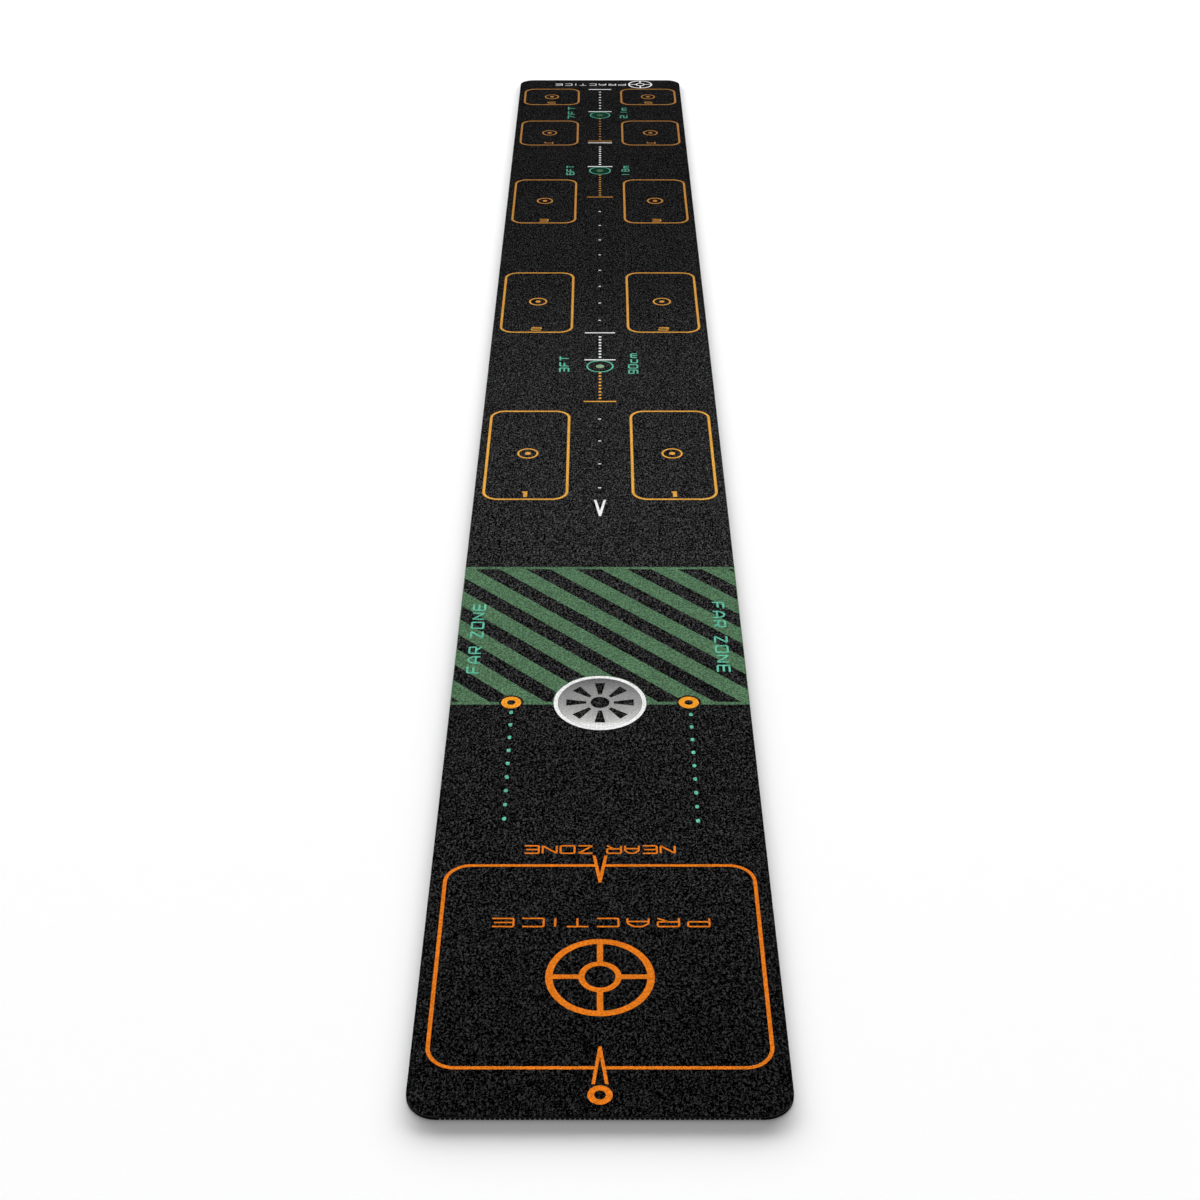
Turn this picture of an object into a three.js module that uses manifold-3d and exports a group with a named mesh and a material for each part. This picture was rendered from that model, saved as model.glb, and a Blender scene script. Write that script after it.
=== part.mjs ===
// Practice putting mat: a long strip of dark velour bonded to a heavy rubber base, lying flat.
// The aiming marks, the cup and the distance marks are printed; each large mark is a thin skin on the pile.
// Millimetres. X runs across the mat, Y along it from the start box at -Y, +Z is up, underside at Z = 0.
import * as THREE from "three";
import { mergeVertices } from "three/addons/utils/BufferGeometryUtils.js";
import Module from "manifold-3d";

const wasm = await Module();
wasm.setup();

// ---------- driving dimensions ----------

const mat = { length: 3000, width: 350, cornerRadius: 29 };
// Layer heights add up exactly in 32-bit numbers, so the stacked faces meet without an overlap.
const layer = { rubber: 3.5, bond: 0.25, cloth: 0.25, pile: 1 };
// The grip ribs under the rubber run the length of the mat. Their height is part of the rubber's.
const rib = { pitch: 4.45, width: 2, height: 2, edgeMargin: 0.4, intoSheet: 0.5 };
const inkHeight = 0.25;
const inkGap = 0.3;

const line = 3.8;
// An arc is drawn with twice this many straight segments.
const cornerSegments = 6;
const ringSegments = 20;

// Near end: the ball spot and the start box with its two pointers.
const spot = { fromEnd: 25, outer: 11.4, inner: 5.3 };
const startBox = { nearEdge: 57.8, length: 282.3, sideInset: 15.5, cornerRadius: 26 };
const pointer = { halfWidth: 7.8, length: 46.5, outside: 19.8, tipSolid: 13.5, arm: 3.2 };
const target = { fromEnd: 176, outer: 53, inner: 46, hub: 21, hubLine: 6, spoke: 6 };

// The striped field in front of the cup, measured from the near end.
const field = { nearEdge: 626.5, length: 306.9, border: 5.4, stripe: 33.9, gap: 31.9, phase: -4.5, web: 0.8 };
const cup = { radius: 54.3, rim: 5, centreRadius: 11.2, intoField: 4.2 };
const slot = { count: 8, innerRadius: 16, outerRadius: 39.5, innerWidth: 4.2, outerWidth: 12.8 };
const gate = { halfSpacing: 103.7, outer: 11.8, inner: 4.8, halo: 2 };
const arrow = { pastField: 132.6, length: 44.8, halfWidth: 8.4, arm: 3.4, tipSolid: 15 };

// Past the field are five pairs of stations, one each side of the middle lane. Each pair's length is set here,
// and the open lengths between pairs share what the mat has left, in the proportions given.
const stationRun = { pastField: 179.2, farBand: 64.2 };
const stationLengths = [267.9, 245.6, 225.4, 149.7, 106.5];
const openShares = [283.5, 234.6, 201.6, 108.4];
const station = { laneHalfWidth: 46, sideInset: 13, cornerRadius: 21, ringOuter: 15.3, ringInner: 12.6 };

// The distance ladders in the middle lane. Each runs from its short line to its long line, both set out from
// a station's near or far edge, with its ring at a share of the way. On this mat the rings come 0.905 m,
// 1.790 m and 2.128 m from the cup.
const ladder = { halfWidth: 24.5, line: 3.5, ringOuter: 21.4, ringInner: 18.4 };
const ladders = [
  { name: "first", from: [0, "far", 32.8], to: [1, "near", -2.5], ringShare: 0.495 },
  { name: "second", from: [2, "far", -92.8], to: [3, "near", 13.4], ringShare: 0.469 },
  { name: "third", from: [3, "near", 24.2], to: [4, "far", -2.2], ringShare: 0.484 },
];
const farTarget = { fromEnd: 31, x: 88.5, outer: 26.5, inner: 23.3, hub: 10, hubLine: 3, spoke: 3 };

// ---------- worked-out places ----------

const nearEnd = -mat.length / 2;
const farEnd = mat.length / 2;
const pileTop = layer.rubber + layer.bond + layer.cloth + layer.pile;
const fieldEnd = nearEnd + field.nearEdge + field.length;
const cupY = nearEnd + field.nearEdge + cup.intoField;
const sum = (values) => values.reduce((total, value) => total + value, 0);

// Each pair of stations as the places of its near and far edges.
function stationEdges() {
  const start = fieldEnd + stationRun.pastField;
  const end = farEnd - stationRun.farBand;
  const share = (end - start - sum(stationLengths)) / sum(openShares);
  let near = start;
  return stationLengths.map((length, index) => {
    const edges = { near, far: near + length };
    near = edges.far + share * (openShares[index] ?? 0);
    return edges;
  });
}

// ---------- materials ----------

function finish(r, g, b, roughness) {
  const color = new THREE.Color().setRGB(r, g, b, THREE.SRGBColorSpace);
  return new THREE.MeshStandardMaterial({ color, roughness, metalness: 0 });
}

const materials = {
  rubber: finish(0.07, 0.07, 0.075, 0.75),
  latex: finish(0.1, 0.1, 0.1, 0.6),
  cloth: finish(0.16, 0.16, 0.17, 0.9),
  velour: finish(0.12, 0.12, 0.125, 0.95),
  orange: finish(0.92, 0.5, 0.13, 0.85),
  amber: finish(0.91, 0.66, 0.28, 0.85),
  mint: finish(0.33, 0.78, 0.64, 0.85),
  green: finish(0.3, 0.46, 0.32, 0.85),
  white: finish(0.9, 0.9, 0.9, 0.85),
  grey: finish(0.66, 0.66, 0.65, 0.85),
};

// ---------- flat outlines ----------

// A rectangle with round corners, centred on (x, y).
function roundedRectangle(width, length, radius, x = 0, y = 0) {
  const r = Math.min(radius, width / 2 - 0.01, length / 2 - 0.01);
  const cx = width / 2 - r;
  const cy = length / 2 - r;
  const shape = new THREE.Shape();
  shape.absarc(x + cx, y - cy, r, -Math.PI / 2, 0);
  shape.absarc(x + cx, y + cy, r, 0, Math.PI / 2);
  shape.absarc(x - cx, y + cy, r, Math.PI / 2, Math.PI);
  shape.absarc(x - cx, y - cy, r, Math.PI, (Math.PI * 3) / 2);
  return shape;
}

function polygon(points) {
  return new THREE.Shape(points.map(([x, y]) => new THREE.Vector2(x, y)));
}

function rectangle(x0, x1, y0, y1) {
  return polygon([[x0, y0], [x1, y0], [x1, y1], [x0, y1]]);
}

function disc(radius, x, y) {
  const shape = new THREE.Shape();
  shape.absarc(x, y, radius, 0, Math.PI * 2);
  return shape;
}

// Two straight arms that meet in a solid tip: the tip is at (x, y) and the arms open along sign * Y.
function openArrow({ halfWidth, length, arm, tipSolid }, x, y, sign) {
  const tipHalf = arm * 0.45;
  const end = y + sign * length;
  return polygon([
    [x - tipHalf, y],
    [x + tipHalf, y],
    [x + halfWidth, end],
    [x + halfWidth - arm, end],
    [x, y + sign * tipSolid],
    [x - halfWidth + arm, end],
    [x - halfWidth, end],
  ]);
}

// ---------- solids ----------

function toSolid(geometry) {
  const places = new THREE.BufferGeometry().setAttribute("position", geometry.getAttribute("position"));
  const merged = mergeVertices(places, 1e-4);
  return new wasm.Manifold(
    new wasm.Mesh({
      numProp: 3,
      vertProperties: merged.attributes.position.array,
      triVerts: new Uint32Array(merged.index.array),
    }),
  );
}

function toGeometry(solid) {
  const { numProp, numVert, vertProperties, triVerts } = solid.getMesh();
  const places = new Float32Array(numVert * 3);
  for (let i = 0; i < numVert; i += 1) {
    places.set(vertProperties.subarray(i * numProp, i * numProp + 3), i * 3);
  }
  const geometry = new THREE.BufferGeometry();
  geometry.setAttribute("position", new THREE.BufferAttribute(places, 3));
  geometry.setIndex(new THREE.BufferAttribute(triVerts, 1));
  return geometry;
}

// A flat outline raised by height, as a solid whose underside is at Z = 0.
function raise(shape, height, curveSegments) {
  const geometry = new THREE.ExtrudeGeometry(shape, { depth: height, bevelEnabled: false, curveSegments });
  return toSolid(geometry);
}

const skin = (shape, segments = ringSegments) => raise(shape, inkHeight, segments);
// A cutter stands clear of both faces of the skin it cuts.
function cutter(shape, segments = ringSegments) {
  return raise(shape, inkHeight * 3, segments).translate([0, 0, -inkHeight]);
}
const joined = (solids) => solids.reduce((whole, solid) => whole.add(solid));

const ringSkin = (outer, inner, x, y) => skin(disc(outer, x, y)).subtract(cutter(disc(inner, x, y)));

// A round-cornered frame whose line is centred on the given rectangle.
function frameSkin(width, length, radius, x, y) {
  const outer = roundedRectangle(width + line, length + line, radius + line / 2, x, y);
  const inner = roundedRectangle(width - line, length - line, radius - line / 2, x, y);
  return skin(outer, cornerSegments).subtract(cutter(inner, cornerSegments));
}

// An aiming target: a ring, a smaller ring inside it, and four spokes that run from line to line.
function targetSkin({ outer, inner, hub, hubLine, spoke }, x, y) {
  const reach = (outer + inner) / 2;
  const across = skin(rectangle(x - reach, x + reach, y - spoke / 2, y + spoke / 2));
  const along = skin(rectangle(x - spoke / 2, x + spoke / 2, y - reach, y + reach));
  const spokes = joined([across, along]).subtract(cutter(disc(hub - hubLine / 2, x, y)));
  return joined([ringSkin(outer, inner, x, y), ringSkin(hub, hub - hubLine, x, y), spokes]);
}

// ---------- the layers ----------

const group = new THREE.Group();

function addNode(name, solid, material, z) {
  const mesh = new THREE.Mesh(toGeometry(solid), material);
  mesh.name = name;
  mesh.position.z = z;
  group.add(mesh);
}

// A solid sheet of rubber on parallel ribs, with one rib on the middle line and all of them inside the outline.
function rubberBacking(outline) {
  const sheet = raise(outline, layer.rubber - rib.height, cornerSegments).translate([0, 0, rib.height]);
  const eachSide = Math.floor((mat.width / 2 - rib.width / 2 - rib.edgeMargin) / rib.pitch);
  const ribs = [];
  for (let i = -eachSide; i <= eachSide; i += 1) {
    const x = i * rib.pitch;
    const strip = rectangle(x - rib.width / 2, x + rib.width / 2, nearEnd, farEnd);
    ribs.push(raise(strip, rib.height + rib.intoSheet, 1));
  }
  const within = raise(outline, layer.rubber, cornerSegments);
  return wasm.Manifold.union([sheet, wasm.Manifold.union(ribs).intersect(within)]);
}

function addLayers() {
  const outline = roundedRectangle(mat.width, mat.length, mat.cornerRadius);
  addNode("rubber_backing", rubberBacking(outline), materials.rubber, 0);
  const stack = [
    ["bond_coat", layer.bond, materials.latex],
    ["base_cloth", layer.cloth, materials.cloth],
    ["velour_pile", layer.pile, materials.velour],
  ];
  let z = layer.rubber;
  for (const [name, height, material] of stack) {
    addNode(name, raise(outline, height, cornerSegments), material, z);
    z += height;
  }
}

const addMark = (name, solid, material) => addNode(name, solid, material, pileTop);

// ---------- the start box ----------

function addStartBox() {
  const boxWidth = mat.width - 2 * startBox.sideInset;
  const nearY = nearEnd + startBox.nearEdge;
  const farY = nearY + startBox.length;
  const frame = frameSkin(boxWidth, startBox.length, startBox.cornerRadius, 0, (nearY + farY) / 2);
  // Each pointer's tip is inside the box and its open end outside.
  const inside = pointer.length - pointer.outside;
  const nearPointer = [pointer, 0, nearY + inside, -1];
  const farPointer = [{ ...pointer, length: pointer.length - 4 }, 0, farY - inside, 1];
  const between = [nearPointer, farPointer].map(([shape, x, tipY, sign]) => {
    const end = tipY + sign * shape.length;
    return cutter(polygon([[x, tipY], [x + shape.halfWidth, end], [x - shape.halfWidth, end]]));
  });
  const arms = [nearPointer, farPointer].map((values) => skin(openArrow(...values)));
  addMark("start_box_line", joined([frame.subtract(joined(between)), ...arms]), materials.orange);

  const spotY = nearEnd + spot.fromEnd;
  addMark("near_spot_ring", ringSkin(spot.outer, spot.inner, 0, spotY), materials.orange);
  addMark("start_target", targetSkin(target, 0, nearEnd + target.fromEnd), materials.orange);
}

// ---------- the cup, its gates and the striped field ----------

function addCup() {
  const y = cupY;
  const printRadius = cup.radius - cup.rim - inkGap;
  addMark("cup_rim_print", ringSkin(cup.radius, cup.radius - cup.rim, 0, y), materials.white);
  const slots = [];
  for (let i = 0; i < slot.count; i += 1) {
    const wedge = polygon([
      [slot.innerRadius, -slot.innerWidth / 2],
      [slot.outerRadius, -slot.outerWidth / 2],
      [slot.outerRadius, slot.outerWidth / 2],
      [slot.innerRadius, slot.innerWidth / 2],
    ]);
    slots.push(cutter(wedge).rotate([0, 0, (i * 360) / slot.count]).translate([0, y, 0]));
  }
  const floor = ringSkin(printRadius, cup.centreRadius, 0, y).subtract(joined(slots));
  addMark("cup_floor_print", floor, materials.grey);
}

function addGates() {
  for (const [side, sign] of [["left", -1], ["right", 1]]) {
    const ring = ringSkin(gate.outer, gate.inner, sign * gate.halfSpacing, cupY);
    addMark("gate_ring_" + side, ring, materials.orange);
  }
}

// Slanting stripes between two borders. A thin web along the sides and round the cut-outs keeps it one piece.
function addStripedField() {
  const half = mat.width / 2;
  const y0 = fieldEnd - field.length;
  const y1 = fieldEnd;
  const area = skin(rectangle(-half, half, y0, y1));
  const parts = [
    skin(rectangle(-half, half, y0, y0 + field.border)),
    skin(rectangle(-half, half, y1 - field.border, y1)),
    skin(rectangle(-half, -half + field.web, y0, y1)),
    skin(rectangle(half - field.web, half, y0, y1)),
  ];
  const period = field.stripe + field.gap;
  const run = field.length;
  const first = Math.ceil((-half - run - field.phase - field.stripe) / period);
  const last = Math.floor((half - field.phase) / period);
  for (let i = first; i <= last; i += 1) {
    // Each stripe falls at 45 degrees, from its place on the far border down to the near one.
    const x = field.phase + i * period;
    parts.push(skin(polygon([[x, y1], [x + run, y0], [x + run + field.stripe, y0], [x + field.stripe, y1]])));
  }
  const holes = [[cup.radius + inkGap, 0]];
  for (const sign of [-1, 1]) {
    holes.push([gate.outer + gate.halo, sign * gate.halfSpacing]);
  }
  for (const [radius, x] of holes) {
    parts.push(skin(disc(radius + field.web, x, cupY)));
  }
  const cutters = holes.map(([radius, x]) => cutter(disc(radius, x, cupY)));
  addMark("zone_stripes", joined(parts).intersect(area).subtract(joined(cutters)), materials.green);
}

function addArrow() {
  addMark("aim_arrow", skin(openArrow(arrow, 0, fieldEnd + arrow.pastField, 1)), materials.white);
}

// ---------- the stations and the distance ladders ----------

function addStations() {
  const outerX = mat.width / 2 - station.sideInset;
  const width = outerX - station.laneHalfWidth;
  const middle = (outerX + station.laneHalfWidth) / 2;
  stationEdges().forEach(({ near, far }, index) => {
    for (const [side, sign] of [["left", -1], ["right", 1]]) {
      const name = `station_${index + 1}_${side}`;
      const x = sign * middle;
      const y = (near + far) / 2;
      addMark(name + "_frame", frameSkin(width, far - near, station.cornerRadius, x, y), materials.amber);
      addMark(name + "_ring", ringSkin(station.ringOuter, station.ringInner, x, y), materials.amber);
    }
  });
}

function addLadders() {
  const across = ladder.halfWidth;
  const bar = (y) => skin(rectangle(-across, across, y - ladder.line / 2, y + ladder.line / 2));
  const edges = stationEdges();
  const place = ([pair, edge, beyond]) => edges[pair][edge] + beyond;
  for (const { name, from, to, ringShare } of ladders) {
    const start = place(from);
    const end = place(to);
    const y = start + ringShare * (end - start);
    addMark(name + "_short_line", bar(start), materials.orange);
    addMark(name + "_distance_ring", ringSkin(ladder.ringOuter, ladder.ringInner, 0, y), materials.mint);
    addMark(name + "_reach_line", bar(y + ladder.ringOuter + inkGap + ladder.line / 2), materials.white);
    addMark(name + "_long_line", bar(end), materials.white);
  }
}

function addFarTarget() {
  const y = farEnd - farTarget.fromEnd;
  addMark("far_target", targetSkin(farTarget, farTarget.x, y), materials.white);
}

addLayers();
addStartBox();
addCup();
addGates();
addStripedField();
addArrow();
addStations();
addLadders();
addFarTarget();

export default group;
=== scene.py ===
"""A practice putting mat: ribbed rubber, woven base cloth and a short velour pile with its dyed markings.

Everything is in metres. The mat lies on the floor with its middle at the origin, X across it and Y along it.
The end with the large orange box is towards -Y.
"""

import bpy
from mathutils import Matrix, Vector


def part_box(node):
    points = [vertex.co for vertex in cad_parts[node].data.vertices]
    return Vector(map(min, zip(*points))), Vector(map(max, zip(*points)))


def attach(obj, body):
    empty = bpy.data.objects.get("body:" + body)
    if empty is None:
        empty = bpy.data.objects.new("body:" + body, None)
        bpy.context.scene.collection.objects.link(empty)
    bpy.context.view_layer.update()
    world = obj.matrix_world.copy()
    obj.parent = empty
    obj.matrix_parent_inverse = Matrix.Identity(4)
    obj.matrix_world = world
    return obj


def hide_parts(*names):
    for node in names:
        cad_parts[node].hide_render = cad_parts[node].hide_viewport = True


bl_info = {
    "name": "Practice putting mat",
    "version": (1, 0, 0),
    "blender": (4, 5, 0),
    "location": "3D View > Sidebar > Putting Mat",
    "description": "Builds the cloth, rubber and dyed markings of a practice putting mat",
    "category": "Object",
}

import math
import random

import bmesh
import bpy
from mathutils import Vector
from mathutils.geometry import delaunay_2d_cdt

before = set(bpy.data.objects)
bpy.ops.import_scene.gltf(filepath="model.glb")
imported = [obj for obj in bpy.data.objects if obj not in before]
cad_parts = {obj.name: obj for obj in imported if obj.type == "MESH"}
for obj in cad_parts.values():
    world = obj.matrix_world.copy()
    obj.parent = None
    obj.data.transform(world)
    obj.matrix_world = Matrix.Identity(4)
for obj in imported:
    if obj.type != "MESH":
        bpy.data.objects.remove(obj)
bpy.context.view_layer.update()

MM = 0.001
NEAR_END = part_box("velour_pile")[0].y
PILE_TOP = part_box("velour_pile")[1].z
MAT_LENGTH = 3000  # millimetres, as are all distances from the near end
CORNER = 29 * MM  # radius of the mat's corners

# Grip ribs: middle to middle, half their width, their height, and how far they bite into the web.
RIB_PITCH = 4.45 * MM
RIB_HALF = 1.0 * MM
RIB_HEIGHT = 2 * MM
BITE = 0.3 * MM
RIB_CLEARANCE = 1 * MM  # between the outermost rib and the border
EDGE_PITCH = 4 * MM  # between points along the rubber's outline

# Pips on the end faces: half their width and height, the Z of their middle, and how far they rise.
PIP_HALF_X = 0.95 * MM
PIP_HALF_Z = 0.85 * MM
PIP_Z = 1.25 * MM
PIP_RISE = 0.16 * MM
PIPS_EACH_SIDE = 32


# ---------------------------------------------------------------- sizes and colours


class MatSizes(bpy.types.PropertyGroup):
    """Sizes that shape the cloth and the print."""

    dye_rise: bpy.props.FloatProperty(
        name="Dye rise",
        description="How far the dyed pile stands above the undyed pile",
        default=0.00003,
        unit="LENGTH",
        precision=5,
    )
    dye_depth: bpy.props.FloatProperty(
        name="Dye depth",
        description="How deep the dye goes into the pile",
        default=0.0001,
        unit="LENGTH",
        precision=5,
    )
    tuft: bpy.props.FloatProperty(
        name="Tuft",
        description="Distance between tufts along the cut edge of the pile",
        default=0.0016,
        unit="LENGTH",
        precision=5,
    )
    tuft_spread: bpy.props.FloatProperty(
        name="Tuft spread",
        description="How unevenly the tufts stand out along the cut edge",
        default=0.00016,
        unit="LENGTH",
        precision=5,
    )
    halo: bpy.props.FloatProperty(
        name="Gate halo",
        description="Width of the undyed ring round each gate ring",
        default=0.0026,
        unit="LENGTH",
        precision=5,
    )
    distance_ring: bpy.props.FloatProperty(
        name="Distance ring line",
        description="Width of the line of the mint rings",
        default=0.0024,
        unit="LENGTH",
        precision=5,
    )
    border: bpy.props.FloatProperty(
        name="Rubber border",
        description="Width of the closed border round the ribs",
        default=0.0024,
        unit="LENGTH",
        precision=5,
    )
    rib_round: bpy.props.FloatProperty(
        name="Rib rounding",
        description="Radius of the long edges of the rubber ribs",
        default=0.0005,
        unit="LENGTH",
        precision=5,
    )
    centre_dash: bpy.props.FloatProperty(
        name="Centre dash",
        description="Length of the dashes along the middle of the mat",
        default=0.003,
        unit="LENGTH",
    )


class MatColours(bpy.types.PropertyGroup):
    """Dye and rubber colours."""

    pile: bpy.props.FloatVectorProperty(
        name="Pile", description="Undyed velour", subtype="COLOR", default=(0.0042, 0.0042, 0.00425)
    )
    orange: bpy.props.FloatVectorProperty(
        name="Orange", description="Start box, target, words", subtype="COLOR", default=(0.72, 0.182, 0.013)
    )
    gate: bpy.props.FloatVectorProperty(
        name="Gate", description="The two rings beside the cup", subtype="COLOR", default=(0.84, 0.32, 0.025)
    )
    hub: bpy.props.FloatVectorProperty(
        name="Hub", description="Spots in the distance rings", subtype="COLOR", default=(0.24, 0.37, 0.22)
    )
    deep: bpy.props.FloatVectorProperty(
        name="Deep green", description="Inside the far rings", subtype="COLOR", default=(0.006, 0.03, 0.019)
    )
    amber: bpy.props.FloatVectorProperty(
        name="Amber", description="Stations and short lines", subtype="COLOR", default=(0.72, 0.36, 0.06)
    )
    mint: bpy.props.FloatVectorProperty(
        name="Mint", description="Distance rings and labels", subtype="COLOR", default=(0.122, 0.48, 0.335)
    )
    green: bpy.props.FloatVectorProperty(
        name="Green", description="Stripes behind the cup", subtype="COLOR", default=(0.075, 0.152, 0.082)
    )
    white: bpy.props.FloatVectorProperty(
        name="White", description="Aim line, long lines, cup rim", subtype="COLOR", default=(0.82, 0.82, 0.82)
    )
    rubber: bpy.props.FloatVectorProperty(
        name="Rubber", description="Moulded backing", subtype="COLOR", default=(0.0032, 0.0032, 0.0035)
    )
    # Pale grey of the moulded pips on the end faces, against the black rubber.
    worn_rubber: bpy.props.FloatVectorProperty(
        name="Pale pip rubber", description="Pips on the end faces", subtype="COLOR", default=(0.3, 0.3, 0.305)
    )


# ---------------------------------------------------------------- places on the mat


def along(distance):
    """The Y of a place that many millimetres from the near end."""
    return NEAR_END + distance * MM


def spot(x, distance):
    """A place on the mat: millimetres right of the middle, and from the near end."""
    return (x * MM, along(distance))


def spread(first, last, count):
    """count numbers, evenly spaced from first to last."""
    return [first + (last - first) * i / (count - 1) for i in range(count)]


# ---------------------------------------------------------------- mesh making

INSIDE_ONLY = 1  # the triangulation's setting for faces inside the outline


def new_piece(name, mesh, material):
    """Puts a mesh in the scene as a piece of the mat."""
    piece = bpy.data.objects.new(name, mesh)
    bpy.context.scene.collection.objects.link(piece)
    mesh.materials.clear()
    mesh.materials.append(material)
    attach(piece, "root")
    return piece


def finished(bm, name):
    """Turns what was built into a mesh with its faces looking outward."""
    bmesh.ops.recalc_face_normals(bm, faces=bm.faces)
    mesh = bpy.data.meshes.new(name)
    bm.to_mesh(mesh)
    bm.free()
    return mesh


def rounded_outline(half_width, low, high, radius, pitch):
    """Points round a rectangle with rounded corners, about pitch apart, each with its outward direction."""
    middle, reach = (low + high) / 2, (high - low) / 2
    points = []
    turn = max(6, int(radius * math.pi / 2 / pitch))
    for corner, (sx, sy) in enumerate(((1, -1), (1, 1), (-1, 1), (-1, -1))):
        centre = (sx * (half_width - radius), middle + sy * (reach - radius))
        start = math.radians(-90 + 90 * corner)
        for i in range(turn + 1):
            angle = start + math.pi / 2 * i / turn
            away = (math.cos(angle), math.sin(angle))
            points.append(((centre[0] + radius * away[0], centre[1] + radius * away[1]), away))
        side = 2 * (reach if corner % 2 == 0 else half_width) - 2 * radius
        away = points[-1][1]
        count = max(1, int(side / pitch))
        step = (-away[1] * side / count, away[0] * side / count)
        base = points[-1][0]
        for i in range(1, count):
            points.append(((base[0] + step[0] * i, base[1] + step[1] * i), away))
    return points


def slab(bm, outline, levels, jitter=0.0, seed=1):
    """A sheet from its outline, with its rim's points moved inward by up to jitter.

    levels are (z, inset) pairs from the bottom up.
    """
    dice = random.Random(seed)
    shift = [dice.uniform(-jitter, 0) for _ in outline]
    rings = []
    for z, inset in levels:
        rings.append(
            [
                bm.verts.new((p[0] - a[0] * (inset - s), p[1] - a[1] * (inset - s), z))
                for (p, a), s in zip(outline, shift)
            ]
        )
    count = len(outline)
    for lower, upper in zip(rings, rings[1:]):
        for i in range(count):
            j = (i + 1) % count
            bm.faces.new((lower[i], lower[j], upper[j], upper[i]))
    for ring in (rings[0], rings[-1]):
        flat = [v.co.xy for v in ring]
        faces = delaunay_2d_cdt(flat, [], [list(range(count))], INSIDE_ONLY, 1e-9)[2]
        for face in faces:
            bm.faces.new([ring[i] for i in face])


def section_sweep(bm, rings, closed):
    """Joins rings of equally many points into one skin, capped at both ends unless it closes on itself."""
    made = [[bm.verts.new(p) for p in ring] for ring in rings]
    spans = list(zip(made, made[1:])) + ([(made[-1], made[0])] if closed else [])
    count = len(made[0])
    for a, b in spans:
        for i in range(count):
            j = (i + 1) % count
            bm.faces.new((a[i], a[j], b[j], b[i]))
    if not closed:
        bm.faces.new(made[0])
        bm.faces.new(made[-1])


def rounded_foot(width, low, high, radius):
    """The section of a rib: across and Z, from one top corner round its rounded foot to the other."""
    turns = [math.pi / 2 * k / 3 for k in range(3, -1, -1)]
    arc = [(radius * (1 - math.sin(turn)), radius * (1 - math.cos(turn))) for turn in turns]
    left = [(x, low + z) for x, z in arc]
    return [(0, high), *left, *[(width - x, z) for x, z in reversed(left)], (width, high)]


def rim(bm, outline, low, high, width, radius):
    """A closed border that follows the outline on its inside."""
    section = rounded_foot(width, low, high, radius)
    rings = [[(p[0] - a[0] * across, p[1] - a[1] * across, z) for across, z in section] for p, a in outline]
    section_sweep(bm, rings, True)


def rib_reach(x, corner, margin):
    """How far along Y a rib at x runs before it meets the border, at the mat's rounded corners too."""
    radius = CORNER - margin
    past = abs(x) + RIB_HALF - (corner.x - CORNER)
    drop = radius - math.sqrt(max(0.0, radius**2 - past**2)) if past > 0 else 0.0
    into_border = 0.8 * MM
    return corner.y - margin - drop + into_border


def rib(bm, x, reach, low, high, radius):
    """A grip rib along Y with a rounded foot."""
    section = rounded_foot(2 * RIB_HALF, low, high, radius)
    rings = [[(x - RIB_HALF + across, y, z) for across, z in section] for y in (-reach, reach)]
    section_sweep(bm, rings, False)


def pip(bm, x, y, away):
    """A low moulded dome on the end face of the rubber. Its root is buried in the face."""
    outline = oval(0, 0, PIP_HALF_X, PIP_HALF_Z, count=12)
    rings = []
    for share, out in ((1.0, -BITE), (1.0, 0.0), (0.72, 0.7 * PIP_RISE), (0.35, PIP_RISE)):
        rings.append([(x + px * share, y + away * out, PIP_Z + pz * share) for px, pz in outline])
    section_sweep(bm, rings, False)


def plate(bm, loop, low, high):
    """A flat plate between two heights from one closed loop of points."""
    rings = [[bm.verts.new((x, y, z)) for x, y in loop] for z in (low, high)]
    count = len(loop)
    for i in range(count):
        j = (i + 1) % count
        bm.faces.new((rings[0][i], rings[0][j], rings[1][j], rings[1][i]))
    for ring in rings:
        bm.faces.new(ring)


def mitred(points, closed, half):
    """Points to the left and right of a line, half a stroke away, with its corners mitred."""
    sides = []
    count = len(points)
    for i, p in enumerate(points):
        before = points[i - 1] if i or closed else None
        after = points[(i + 1) % count] if i + 1 < count or closed else None
        pairs = [(a, b) for a, b in ((before, p), (p, after)) if a is not None and b is not None]
        legs = [(Vector(b) - Vector(a)).normalized() for a, b in pairs]
        normals = [Vector((-leg.y, leg.x)) for leg in legs]
        mid = sum(normals, Vector((0, 0))).normalized()
        reach = half / max(0.45, mid.dot(normals[0]))
        sides.append((Vector(p) + mid * reach, Vector(p) - mid * reach))
    return sides


def stroke(bm, points, closed, width, low, high):
    """A printed line of one width."""
    rings = []
    for left, right in mitred(points, closed, width / 2):
        section = ((left, low), (right, low), (right, high), (left, high))
        rings.append([bm.verts.new((q.x, q.y, z)) for q, z in section])
    spans = list(zip(rings, rings[1:])) + ([(rings[-1], rings[0])] if closed else [])
    for a, b in spans:
        for i in range(4):
            j = (i + 1) % 4
            bm.faces.new((a[i], a[j], b[j], b[i]))
    if not closed:
        bm.faces.new(rings[0])
        bm.faces.new(rings[-1])


def eased(points, closed, radius, steps=4):
    """The same line with its corners rounded."""
    made = []
    count = len(points)
    for i, p in enumerate(points):
        if not closed and i in (0, count - 1):
            made.append(tuple(p))
            continue
        here = Vector(p)
        back, ahead = Vector(points[i - 1]) - here, Vector(points[(i + 1) % count]) - here
        cut = min(radius, back.length * 0.45, ahead.length * 0.45)
        a, b = here + back.normalized() * cut, here + ahead.normalized() * cut
        for k in range(steps + 1):
            t = k / steps
            q = a * (1 - t) ** 2 + here * 2 * t * (1 - t) + b * t * t
            made.append((q.x, q.y))
    return made


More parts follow.
